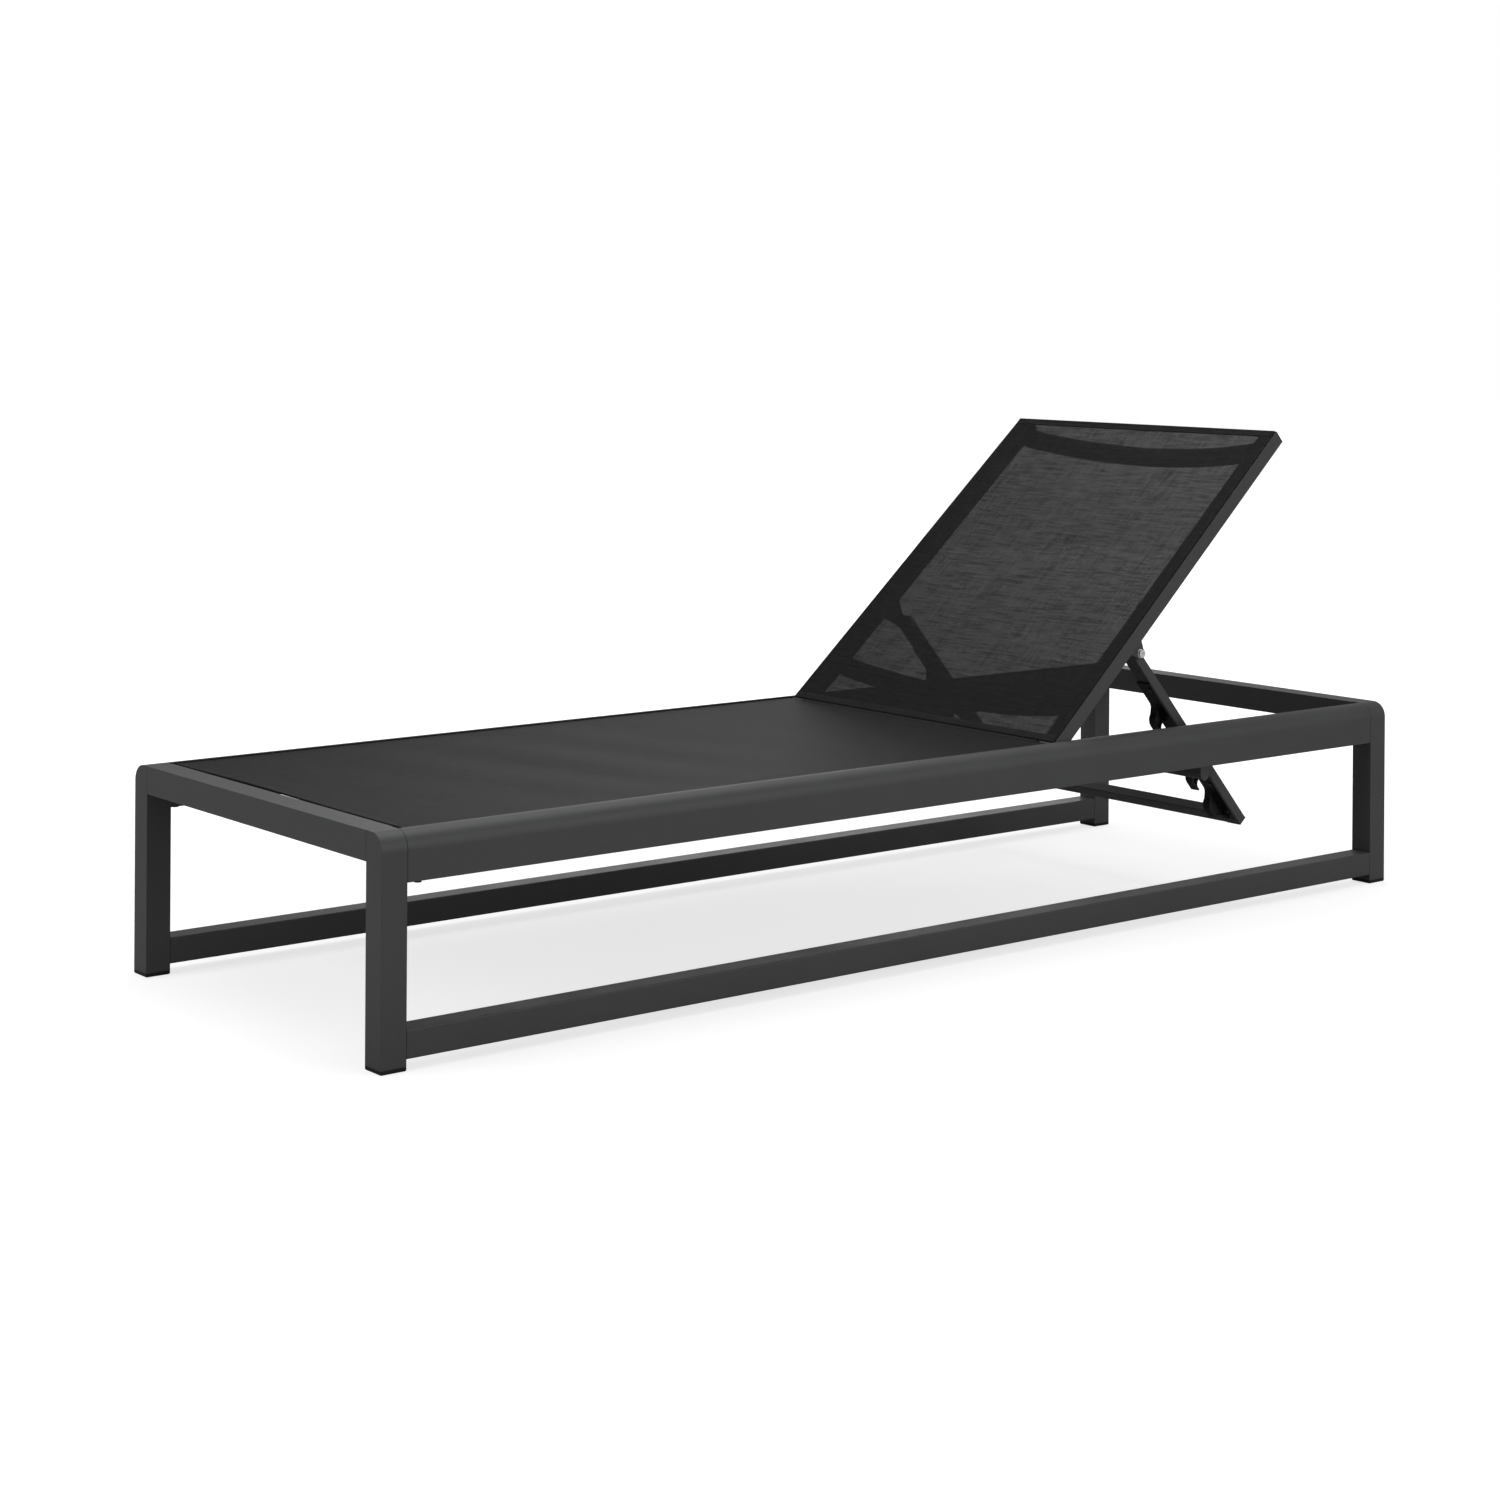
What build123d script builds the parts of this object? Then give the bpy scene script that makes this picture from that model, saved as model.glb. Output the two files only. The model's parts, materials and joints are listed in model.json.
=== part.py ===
from build123d import *
from math import atan2, cos, degrees, radians, sin, sqrt
import os

# Reclining sun lounger: a bolted frame of aluminium tube with a sling seat, and a hinged
# sling backrest held up by a swinging support frame with a hooked rack on each arm.
# Millimetres. +X points to the head end, +Z is up, and the origin is on the floor under
# the middle of the frame. "Left" is the -Y side and "right" the +Y side.

# ---- driving dimensions ------------------------------------------------------------
frame_length = 1984.0
frame_width = 684.2
frame_height = 305.0

leg_size = 38.0
leg_wall = 2.0
pad_height = 6.0
pad_plug_height = 22.0
pad_round = 2.5
top_round = 24.0

rail_width = 24.6
rail_height = 65.5
rail_wall = 2.2
end_rail_width = 40.0
end_rail_height = 40.0
end_rail_wall = 2.0
stretcher_size = 38.0
stretcher_wall = 2.0
stretcher_lift = 15.0
stretcher_round = 2.0
stretcher_plug_length = 26.0
stretcher_bolt_grip = 20.0
stretcher_bolt_rise = 6.0   # bolt above the middle of the stretcher
stretcher_head_height = 5.0

seam = 0.6                  # shadow line where a rail or stretcher meets a leg
slip = 0.2                  # gap between an inner piece and the tube it slides into
corner_arm_length = 42.0
corner_bolt_radius = 3.0
corner_bolt_grip = 24.0
corner_bolt_offset = 3.0    # corner bolt outboard of the middle of the side rail
end_screw_grip = 14.0
corner_head_radius = 5.0
corner_head_height = 3.0

spline_radius = 2.4
groove_radius = 2.7
groove_slot = 2.6
groove_cover = 1.3          # least metal round a spline groove
sling_thickness = 2.0
sling_drop = 2.0            # top of the seat sling below the top of the rails
sling_side_gap = 0.5
sling_edge_inset = 1.0      # back sling inside the outer faces of its tubes
seat_foot_gap = 9.0
seat_back_gap = 1.5         # seat sling to the swing of the backrest's hinge end
tongue_gap = 4.5            # seat sling short of the hinge axis, between the hinge ends

bow_width = 30.0
bow_depth = 16.0
bow_wall = 1.6
seat_bow_drop = 32.0
seat_bow_count = 3
seat_bow_clearance = 9.0    # seat sling down to the top ends of its bows
first_bow_share = 0.2       # first seat bow along the sling, as a share of its length
last_bow_gap = 25.0         # last seat bow to the sling's head end
socket_wall = 4.0
socket_depth = 8.0
socket_play = 2.0           # height left in a socket below the bow

back_angle = 41.7
back_length = 708.0         # hinge axis to the top end of the backrest
head_gap = 13.0             # top end of the lowered backrest to the head rail
back_tube_width = 30.0
back_tube_depth = 23.0
back_tube_wall = 1.8
back_side_gap = 2.5         # rail to backrest tube at the hinge
back_top_inset = 11.5       # how far each tube leans in by its top end
knuckle_radius = 11.5
lug_length = 45.0
lug_shoulder = 13.0
cap_thickness = 3.0
cap_plug_length = 18.0
cap_round = 1.2
back_groove_inset = 2.0     # outer edge of a backrest tube to its spline groove
back_groove_cover = 1.0     # front face of a backrest tube to its spline groove
spline_setback = 3.0        # spline short of the ends of its groove
back_sling_start = 4.8      # lower edge of the back sling, from the hinge axis
hinge_bolt_radius = 4.0
hinge_head_radius = 6.5
hinge_head_height = 5.0
bush_wall = 1.5
bush_setback = 0.3          # bush short of the faces of the hinge lug
bolt_play = 0.5             # hinge bolt's head clear of the hinge lug
running_gap = 0.05
insert_radius = 6.0
insert_depth = 12.0
washer_radius = 9.0
washer_play = 0.4

lower_bow_place = 102.0
upper_bow_inset = 29.0      # upper bow's middle to the top end of the backrest
lower_bow_drop = 36.0
upper_bow_drop = 30.0
bow_setback = 23.0          # middle of a backrest bow's end, behind the sling's face

pivot_along = 245.3         # support pivot, along the backrest from the hinge axis
pivot_behind = 43.5         # and behind the hinge axis
ear_thickness = 5.0
ear_radius = 10.0
ear_base = 46.0
ear_gap = 1.5
pivot_bolt_radius = 3.0
pivot_head_radius = 6.5
pivot_head_height = 4.0
pivot_socket_radius = 2.6
pivot_socket_depth = 2.6
pivot_washer_radius = 7.2
pivot_washer_thickness = 1.2
pivot_play = 0.3            # arm to the washers on each side of it
nut_height = 6.0
nut_radius = 5.5
pivot_bush_radius = 4.4

arm_angle = 49.0            # slope of the support arms below level
arm_length = 392.0
arm_top = 8.0
arm_width = 28.0
arm_front = 10.5            # arm in front of its pivot axis
arm_back = 6.5              # and behind it
arm_wall = 1.6
arm_round = 1.5
arm_plug_length = 16.0
plug_cap = 2.0
arm_inset = 2.0             # outer face of an arm inside the inner face of its backrest tube
cross_tube_width = 20.0

catch_radius = 9.0
catch_wall = 1.5
pocket_clearance = 0.75
pocket_count = 3
first_pocket = 150.0
pocket_pitch = 66.3
pocket_cover = 1.45         # arm's front face to the floor of a pocket
hook_crest = 4.35           # crest of a hook past the outermost point of its pocket
ramp_start = 20.0           # foot of a hook's sloping back, from the middle of the pocket above
rack_thickness = 14.0
rack_flange = 2.5
rack_start = 58.0
rack_end_gap = 15.0         # lower end of a rack to the end of its arm
rack_screw_inset = 14.0
hook_reach = 4.0            # how far a hook wraps past the middle of its pocket
rack_rim = 3.0
rack_recess = 4.0
rest_along = 26.3           # catch bar below the middle pocket, along the arm
rest_out = 10.45            # and out of it

hanger_thickness = 4.0
hanger_rim = 1.0            # hanger's rounded end outside the catch bar
hanger_inset = 10.5         # outer face of a hanger from the rail
hanger_step_rise = 6.5      # hanger's joggle above the underside of the rail
hanger_top_drop = 28.0      # top of a hanger below the top of the rail
hanger_screw_inset = 8.0
screw_radius = 2.0
screw_grip = 8.0
rack_screw_grip = 6.0
screw_head_radius = 3.8
screw_head_height = 2.2

# ---- worked-out places --------------------------------------------------------------
half_length = frame_length / 2
half_width = frame_width / 2
rail_inner = half_width - rail_width
rail_bottom = frame_height - rail_height
leg_side = half_length - leg_size
rail_end = leg_side - seam
end_rail_inner = half_length - end_rail_width
end_rail_bottom = frame_height - end_rail_height
leg_inner = half_width - leg_size
end_rail_reach = leg_inner - seam
end_arm_face = max(leg_side + leg_wall, end_rail_inner + end_rail_wall)
sling_top = frame_height - sling_drop
sling_under = sling_top - sling_thickness
groove_height = frame_height - groove_cover - groove_radius
groove_room = 2 * groove_radius + 2 * groove_cover
seat_groove_y = -rail_inner - groove_radius - groove_cover
seat_bow_top = sling_under - seat_bow_clearance

panel_half = back_tube_depth / 2 + sling_thickness / 2
hinge_x = end_rail_inner - head_gap - back_length
hinge_z = frame_height - panel_half
tube_front = panel_half - sling_thickness
tube_middle = tube_front - back_tube_depth / 2
tube_back = tube_front - back_tube_depth
back_outer = rail_inner - back_side_gap
tube_centre = back_outer - back_tube_width / 2
back_inner = back_outer - back_tube_width
back_taper = degrees(atan2(back_top_inset, back_length))
left_tube_place = Pos(0, -tube_centre, 0) * Rot(0, 0, back_taper)
back_groove_y = -back_tube_width / 2 + groove_radius + back_groove_inset
back_groove_z = tube_front - groove_radius - back_groove_cover
back_groove_floor = back_groove_z - groove_radius - groove_cover
upper_bow_place = back_length - upper_bow_inset

panel_place = Pos(hinge_x, 0, hinge_z) * Rot(0, -back_angle, 0)
pivot_x = hinge_x + pivot_along * cos(radians(back_angle)) + pivot_behind * sin(radians(back_angle))
pivot_z = hinge_z + pivot_along * sin(radians(back_angle)) - pivot_behind * cos(radians(back_angle))
support_place = Pos(pivot_x, 0, pivot_z) * Rot(0, arm_angle, 0)
arm_outer_face = back_inner - arm_inset
arm_inner_face = arm_outer_face - arm_width
ear_inner_face = arm_outer_face + ear_gap
ear_outer_face = ear_inner_face + ear_thickness
pivot_inner_end = arm_inner_face - pivot_play - pivot_washer_thickness

pocket_radius = catch_radius + pocket_clearance
pocket_depth = arm_front + pocket_cover + pocket_radius
pockets = [first_pocket + pocket_pitch * number for number in range(pocket_count)]
rack_depth = pocket_depth + pocket_radius + hook_crest
rack_end = arm_length - rack_end_gap
catch_along = first_pocket + pocket_pitch + rest_along
catch_out = pocket_depth + rest_out
catch_x = pivot_x + catch_along * cos(radians(arm_angle)) - catch_out * sin(radians(arm_angle))
catch_z = pivot_z - catch_along * sin(radians(arm_angle)) - catch_out * cos(radians(arm_angle))
hanger_outer = rail_inner - hanger_inset
hanger_inner = hanger_outer - hanger_thickness
hanger_half = catch_radius + hanger_rim
hanger_step = rail_bottom + hanger_step_rise
hanger_top = frame_height - hanger_top_drop
seat_start = -end_rail_inner + seat_foot_gap
seat_end = hinge_x - knuckle_radius - seat_back_gap


# ---- shapes that repeat -------------------------------------------------------------
def block(x0, x1, y0, y1, z0, z1):
    """A box between two corners."""
    middle = Pos((x0 + x1) / 2, (y0 + y1) / 2, (z0 + z1) / 2)
    return middle * Box(abs(x1 - x0), abs(y1 - y0), abs(z1 - z0))


def rod_y(x, z, y0, y1, radius):
    """A round bar along Y."""
    return Pos(x, (y0 + y1) / 2, z) * Rot(90, 0, 0) * Cylinder(radius, abs(y1 - y0))


def rod_x(y, z, x0, x1, radius):
    """A round bar along X."""
    return Pos((x0 + x1) / 2, y, z) * Rot(0, 90, 0) * Cylinder(radius, abs(x1 - x0))


def rod_z(x, y, z0, z1, radius):
    """A round bar along Z."""
    return Pos(x, y, (z0 + z1) / 2) * Cylinder(radius, abs(z1 - z0))


def ring_y(x, z, y0, y1, outer, inner):
    """A washer or bush whose axis is along Y."""
    return rod_y(x, z, y0, y1, outer) - rod_y(x, z, y0, y1, inner)


def other_side(shape):
    """The same piece on the right-hand side."""
    return mirror(shape, about=Plane.XZ)


def other_end(shape):
    """The same piece at the other end of the frame."""
    return mirror(shape, about=Plane.YZ)


def both_sides(shapes):
    """Pieces on the left-hand side and their mirror images, as one group."""
    return Compound(children=shapes + [other_side(shape) for shape in shapes])


def shouldered(y0, y1, z0, z1, x0, x1, inset):
    """A bar along X, rounded at its upper -Y edge to a line this far inside the frame's outer face."""
    arc_y, arc_z = -half_width + top_round, frame_height - top_round
    section = Pos((y0 + y1) / 2, (z0 + z1) / 2) * Rectangle(y1 - y0, z1 - z0)
    corner = Pos(arc_y - top_round / 2, arc_z + top_round / 2) * Rectangle(top_round, top_round)
    section -= corner - Pos(arc_y, arc_z) * Circle(top_round - inset)
    return extrude(Plane(origin=(x0, 0, 0), x_dir=(0, 1, 0), z_dir=(1, 0, 0)) * section, x1 - x0)


# ---- base frame ---------------------------------------------------------------------
def corner_shape(clearance):
    """Inner connector of the foot-left corner, this far clear of the tubes round it."""
    gap = leg_wall + clearance
    core = shouldered(-half_width + gap, -leg_inner - gap, end_rail_bottom, frame_height - gap,
                      -half_length + gap, -leg_side - gap, gap)
    gap = rail_wall + clearance
    rail_arm = shouldered(-half_width + gap, -rail_inner - groove_room - clearance,
                          rail_bottom + gap, frame_height - gap,
                          -leg_side - leg_wall - slip, -leg_side + corner_arm_length, gap)
    gap = end_rail_wall + clearance
    end_arm = block(-half_length + gap, -end_arm_face - clearance,
                    -leg_inner - leg_wall - slip, -leg_inner + corner_arm_length,
                    end_rail_bottom + gap, frame_height - gap)
    return core + rail_arm + end_arm


def corner_bolt_places():
    """Where two bolts come up from below into each corner block."""
    half_arm = corner_arm_length / 2
    return [(-leg_side + half_arm, -half_width + rail_width / 2 - corner_bolt_offset),
            (-half_length + leg_size / 2, -leg_inner + half_arm)]


def corner_bolt(x, y, bottom):
    """A button-head bolt that comes up through the underside of a rail."""
    return (rod_z(x, y, bottom, bottom + corner_bolt_grip, corner_bolt_radius)
            + rod_z(x, y, bottom - corner_head_height, bottom, corner_head_radius))


def corner_bolts():
    """The two bolts of the foot-left corner."""
    (rail_x, rail_y), (end_x, end_y) = corner_bolt_places()
    return [corner_bolt(rail_x, rail_y, rail_bottom), corner_bolt(end_x, end_y, end_rail_bottom)]


def end_screw():
    """A short bolt through the end rail's inner face into the corner block."""
    y = -leg_inner + corner_arm_length / 3
    z = frame_height - end_rail_height / 2
    return (rod_x(y, z, -end_rail_inner - end_screw_grip, -end_rail_inner, corner_bolt_radius)
            + rod_x(y, z, -end_rail_inner, -end_rail_inner + corner_head_height, corner_head_radius))


def corner_block():
    """Inner connector of the foot-left corner: a core in the leg and an arm in each rail."""
    shape = corner_shape(slip)
    for bolt in corner_bolts() + [end_screw()]:
        shape -= bolt
    return shape


def leg():
    """Foot-left leg: a square tube, closed and rounded at its top."""
    outer = shouldered(-half_width, -leg_inner, pad_height, frame_height, -half_length, -leg_side, 0)
    inner = shouldered(-half_width + leg_wall, -leg_inner - leg_wall, pad_height, frame_height - leg_wall,
                       -half_length + leg_wall, -leg_side - leg_wall, leg_wall)
    return outer - inner - corner_shape(0) - stretcher_bolt()


def side_rail():
    """Left side rail: a hollow extrusion with a groove for the sling's spline."""
    outer = shouldered(-half_width, -rail_inner, rail_bottom, frame_height, -rail_end, rail_end, 0)
    inner = shouldered(-half_width + rail_wall, -rail_inner - rail_wall, rail_bottom + rail_wall,
                       frame_height - rail_wall, -rail_end, rail_end, rail_wall)
    web = block(-rail_end, rail_end, -rail_inner - groove_room, -rail_inner,
                groove_height - groove_radius - groove_cover, frame_height)
    rail = outer - (inner - web)
    rail -= rod_x(seat_groove_y, groove_height, -rail_end, rail_end, groove_radius)
    rail -= block(-rail_end, rail_end, seat_groove_y, -rail_inner + slip,
                  sling_under - slip, sling_top + slip)
    for bolt in corner_bolts():
        rail -= bolt + other_end(bolt)
    rail -= rod_y(hinge_x, hinge_z, -rail_inner - insert_depth, -rail_inner, insert_radius)
    for screw in hanger_screws():
        rail -= screw
    return rail


def end_rail():
    """Foot-end rail between the two legs."""
    reach, wall = end_rail_reach, end_rail_wall
    outer = block(-half_length, -end_rail_inner, -reach, reach, end_rail_bottom, frame_height)
    inner = block(-half_length + wall, -end_rail_inner - wall, -reach, reach,
                  end_rail_bottom + wall, frame_height - wall)
    rail = outer - inner
    for screw in corner_bolts() + [end_screw()]:
        rail -= screw + other_side(screw)
    return rail


def stretcher():
    """Lower left tube between the foot and head legs."""
    low = stretcher_lift
    high = low + stretcher_size
    wall = stretcher_wall
    outer = block(-rail_end, rail_end, -half_width, -half_width + stretcher_size, low, high)
    outer = fillet(outer.edges().filter_by(Axis.X), stretcher_round)
    return outer - block(-rail_end, rail_end, -half_width + wall, -half_width + stretcher_size - wall,
                         low + wall, high - wall)


def stretcher_plug():
    """Nylon plug in the foot end of the left stretcher."""
    gap = stretcher_wall + slip
    plug = block(-rail_end, -rail_end + stretcher_plug_length,
                 -half_width + gap, -half_width + stretcher_size - gap,
                 stretcher_lift + gap, stretcher_lift + stretcher_size - gap)
    return plug - stretcher_bolt()


def stretcher_bolt():
    """Bolt from inside the foot-left leg into the stretcher's plug."""
    y = -half_width + stretcher_size / 2
    z = stretcher_lift + stretcher_size / 2 + stretcher_bolt_rise
    inside = -leg_side - leg_wall
    return (rod_x(y, z, inside, -rail_end + stretcher_bolt_grip, corner_bolt_radius)
            + rod_x(y, z, inside - stretcher_head_height, inside, corner_head_radius))


def foot_pad():
    """Moulded foot under the foot-left leg, with a plug up inside it."""
    foot = block(-half_length, -leg_side, -half_width, -leg_inner, 0, pad_height)
    foot = fillet(foot.edges().group_by(Axis.Z)[0], pad_round)
    gap = leg_wall + slip
    return foot + block(-half_length + gap, -leg_side - gap, -half_width + gap, -leg_inner - gap,
                        pad_height, pad_height + pad_plug_height)


def bowed_bar(half_span, drop, width, depth, wall):
    """A hollow flat bar along Y, bowed down by drop in its middle. Its top ends are at z = 0."""
    def band(near, far):
        """The arc-shaped strip between two depths below the bar's top face."""
        def arc(depth_down):
            return ThreePointArc((-half_span, -depth_down), (0, -depth_down - drop), (half_span, -depth_down))
        upper, lower = arc(near), arc(far)
        sides = [Line(upper @ 0, lower @ 0), Line(upper @ 1, lower @ 1)]
        return make_face(Curve() + [upper, lower] + sides)

    def solid(face, thickness):
        """A strip given its width along X."""
        plane = Plane(origin=(-thickness / 2, 0, 0), x_dir=(0, 1, 0), z_dir=(1, 0, 0))
        return extrude(plane * face, thickness)

    return solid(band(0, depth), width) - solid(band(wall, depth - wall), width - 2 * wall)


def seat_bow_places():
    """Even spacing of the bowed bars under the seat."""
    first = seat_start + (seat_end - seat_start) * first_bow_share
    last = seat_end - bow_width - last_bow_gap
    step = (last - first) / (seat_bow_count - 1)
    return [first + step * number for number in range(seat_bow_count)]


def seat_bow(x):
    """A bowed bar that keeps the side rails apart, clear below the sling."""
    half_span = rail_inner - slip
    return Pos(x, 0, seat_bow_top) * bowed_bar(half_span, seat_bow_drop, bow_width, bow_depth, bow_wall)


def bow_socket(x):
    """Moulded cup on the left rail's inner face that takes the end of a seat bow."""
    reach = bow_width / 2 + socket_wall
    end_fall = 4 * seat_bow_drop * socket_depth / (2 * rail_inner) + socket_play
    cup = block(x - reach, x + reach, -rail_inner, -rail_inner + socket_depth,
                seat_bow_top - bow_depth - socket_wall - end_fall, seat_bow_top + socket_wall)
    room = block(x - bow_width / 2 - slip, x + bow_width / 2 + slip, -rail_inner, -rail_inner + socket_depth,
                 seat_bow_top - bow_depth - slip - end_fall, seat_bow_top + slip)
    return cup - room


def seat_sling():
    """Plain slab where the woven seat is stretched between the rails."""
    half = rail_inner - sling_side_gap
    tongue_half = back_inner - back_side_gap
    return (block(seat_start, seat_end, -half, half, sling_under, sling_top)
            + block(seat_end, hinge_x - tongue_gap, -tongue_half, tongue_half, sling_under, sling_top))


def seat_spline():
    """Round spline in the left rail's groove."""
    return rod_x(seat_groove_y, groove_height, seat_start, seat_end, spline_radius)


def catch_bar():
    """Round tube across the frame, which the racks hook onto."""
    return ring_y(catch_x, catch_z, -hanger_inner, hanger_inner, catch_radius, catch_radius - catch_wall)


def hanger_screws():
    """Two screws that hold the left hanger to the rail's inner wall."""
    face = -rail_inner + hanger_thickness
    heights = [hanger_step + hanger_screw_inset, hanger_top - hanger_screw_inset]
    return [rod_y(catch_x, z, -rail_inner - screw_grip, face, screw_radius)
            + rod_y(catch_x, z, face, face + screw_head_height, screw_head_radius) for z in heights]


def hanger():
    """Left hanger: a joggled plate from the rail's inner face down to the catch bar."""
    x0, x1 = catch_x - hanger_half, catch_x + hanger_half
    low = hanger_step - hanger_thickness
    plate = block(x0, x1, -rail_inner, -rail_inner + hanger_thickness, low, hanger_top)
    plate += block(x0, x1, -rail_inner, -hanger_inner, low, hanger_step)
    plate += block(x0, x1, -hanger_outer, -hanger_inner, catch_z, hanger_step)
    plate += rod_y(catch_x, catch_z, -hanger_outer, -hanger_inner, hanger_half)
    for screw in hanger_screws():
        plate -= screw
    return plate


def hinge_bolt():
    """Left hinge bolt, put in from inside the backrest tube."""
    seat = -back_inner + bolt_play
    return (rod_y(hinge_x, hinge_z, -rail_inner - insert_depth, seat, hinge_bolt_radius)
            + rod_y(hinge_x, hinge_z, seat, seat + hinge_head_height, hinge_head_radius))


def hinge_insert():
    """Threaded insert in the left rail's inner wall."""
    return ring_y(hinge_x, hinge_z, -rail_inner - insert_depth, -rail_inner, insert_radius, hinge_bolt_radius)


def hinge_washer():
    """Nylon washer between the left rail and the backrest's hinge end."""
    return ring_y(hinge_x, hinge_z, -rail_inner, -rail_inner + back_side_gap - washer_play,
                  washer_radius, hinge_bolt_radius)


# ---- backrest, drawn lying flat about its hinge axis --------------------------------
# Along X from the hinge axis, Z out of the sling's face.
def tube_outer_at(along):
    """Outer face of a backrest tube from the middle, this far up the backrest."""
    return back_outer - back_top_inset * along / back_length


def back_tube():
    """Left backrest tube, with a spline groove near the outer edge of its front face."""
    start, end = lug_shoulder, back_length - cap_thickness
    half = back_tube_width / 2
    outer = block(start, end, -half, half, tube_back, tube_front)
    wall = back_tube_wall
    inner = block(start, end, -half + wall, half - wall, tube_back + wall, tube_front - wall)
    web = block(start, end, -half, back_groove_y + groove_radius + groove_cover,
                back_groove_floor, tube_front)
    tube = outer - (inner - web)
    tube -= rod_x(back_groove_y, back_groove_z, start, end, groove_radius)
    tube -= block(start, end, back_groove_y - groove_slot / 2, back_groove_y + groove_slot / 2,
                  back_groove_z, tube_front)
    return left_tube_place * tube


def back_spline():
    """Round spline in the left backrest tube's groove."""
    return left_tube_place * rod_x(back_groove_y, back_groove_z, lug_shoulder + spline_setback,
                                   back_length - cap_thickness - spline_setback, spline_radius)


def tube_plug(start, end):
    """A plug that fits inside a backrest tube below its groove."""
    gap = back_tube_wall + slip
    half = back_tube_width / 2
    return block(start, end, -half + gap, half - gap, tube_back + gap, back_groove_floor - slip)


def hinge_lug():
    """Cast hinge end of the left backrest tube, rounded about the hinge axis."""
    half = back_tube_width / 2
    body = block(0, lug_shoulder, -half, half, tube_back, tube_front)
    body += rod_y(0, 0, -half, half, knuckle_radius)
    body += tube_plug(lug_shoulder, lug_length)
    bore_radius = hinge_bolt_radius + running_gap + bush_wall
    return left_tube_place * body - rod_y(0, 0, -rail_inner, -back_inner + back_side_gap, bore_radius)


def hinge_bush():
    """Bush in the left hinge lug, running on the hinge bolt."""
    inner = hinge_bolt_radius + running_gap
    return ring_y(0, 0, -back_outer + bush_setback, -back_inner - bush_setback, inner + bush_wall, inner)


def tube_cap():
    """Moulded cap in the top end of the left backrest tube."""
    half = back_tube_width / 2
    end = back_length - cap_thickness
    cap = block(end, back_length, -half, half, tube_back, tube_front)
    cap = fillet(cap.edges().group_by(Axis.X)[-1], cap_round)
    return left_tube_place * (cap + tube_plug(end - cap_plug_length, end))


def back_bow(place, drop):
    """A bowed bar welded between the backrest tubes."""
    half_span = tube_outer_at(place) - back_tube_width
    lean = bow_width / 2 * back_top_inset / back_length
    top = panel_half - bow_setback + bow_depth / 2
    return Pos(place, 0, top) * bowed_bar(half_span - lean, drop, bow_width, bow_depth, bow_wall)


def back_sling():
    """Plain slab where the woven back is stretched over the tubes' front faces."""
    low, high = back_sling_start, back_length - sling_edge_inset
    low_half = tube_outer_at(low) - sling_edge_inset
    high_half = tube_outer_at(high) - sling_edge_inset
    outline = Polyline((low, -low_half), (high, -high_half), (high, high_half), (low, low_half), close=True)
    return Pos(0, 0, tube_front) * extrude(make_face(outline), sling_thickness)


def pivot_ear():
    """Left ear, welded under the backrest tube to carry the support frame."""
    outline = Polyline((pivot_along - ear_base / 2, tube_back), (pivot_along + ear_base / 2, tube_back),
                       (pivot_along + ear_radius, -pivot_behind), (pivot_along - ear_radius, -pivot_behind),
                       close=True)
    plane = Plane(origin=(0, -ear_inner_face, 0), x_dir=(1, 0, 0), z_dir=(0, -1, 0))
    ear = extrude(plane * make_face(outline), ear_thickness)
    ear += rod_y(pivot_along, -pivot_behind, -ear_outer_face, -ear_inner_face, ear_radius)
    return ear - rod_y(pivot_along, -pivot_behind, -ear_outer_face, -ear_inner_face, pivot_bolt_radius)


def pivot_bolt():
    """Left pivot bolt, from the ear's outer face through the arm."""
    x, z = pivot_along, -pivot_behind
    head = ear_outer_face + pivot_washer_thickness
    return (rod_y(x, z, -head, -(pivot_inner_end - nut_height), pivot_bolt_radius)
            + rod_y(x, z, -head - pivot_head_height, -head, pivot_head_radius)
            - rod_y(x, z, -head - pivot_head_height, -head - pivot_head_height + pivot_socket_depth,
                    pivot_socket_radius))


def pivot_washers():
    """Washers under the left bolt's head and nut, and between ear and arm."""
    x, z = pivot_along, -pivot_behind
    faces = [(ear_outer_face, ear_outer_face + pivot_washer_thickness),
             (arm_outer_face + pivot_play, ear_inner_face),
             (pivot_inner_end, pivot_inner_end + pivot_washer_thickness)]
    return [ring_y(x, z, -far, -near, pivot_washer_radius, pivot_bolt_radius) for near, far in faces]


def pivot_nut():
    """Hexagon lock nut on the left pivot bolt."""
    start = -pivot_inner_end
    plane = Plane(origin=(pivot_along, start, -pivot_behind), x_dir=(1, 0, 0), z_dir=(0, -1, 0))
    nut = extrude(plane * RegularPolygon(nut_radius, 6), -nut_height)
    return nut - rod_y(pivot_along, -pivot_behind, start, start + nut_height, pivot_bolt_radius)


# ---- support frame, drawn about its pivot axis --------------------------------------
# Along X down the arms, Z towards the back of the arms, so the racks face -Z.
def support_arm(outer_edge):
    """Support arm whose outermost -Y face is at outer_edge: a flat tube with a pivot bush hole."""
    start, end = -arm_top + plug_cap, arm_length - plug_cap
    far_edge = outer_edge + arm_width
    outer = block(start, end, outer_edge, far_edge, -arm_front, arm_back)
    outer = fillet(outer.edges().filter_by(Axis.X), arm_round)
    wall = arm_wall
    arm = outer - block(start, end, outer_edge + wall, far_edge - wall, -arm_front + wall, arm_back - wall)
    arm -= rod_y(0, 0, outer_edge, far_edge, pivot_bush_radius)
    for screw in rack_screws(outer_edge):
        arm -= screw
    return arm


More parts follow.
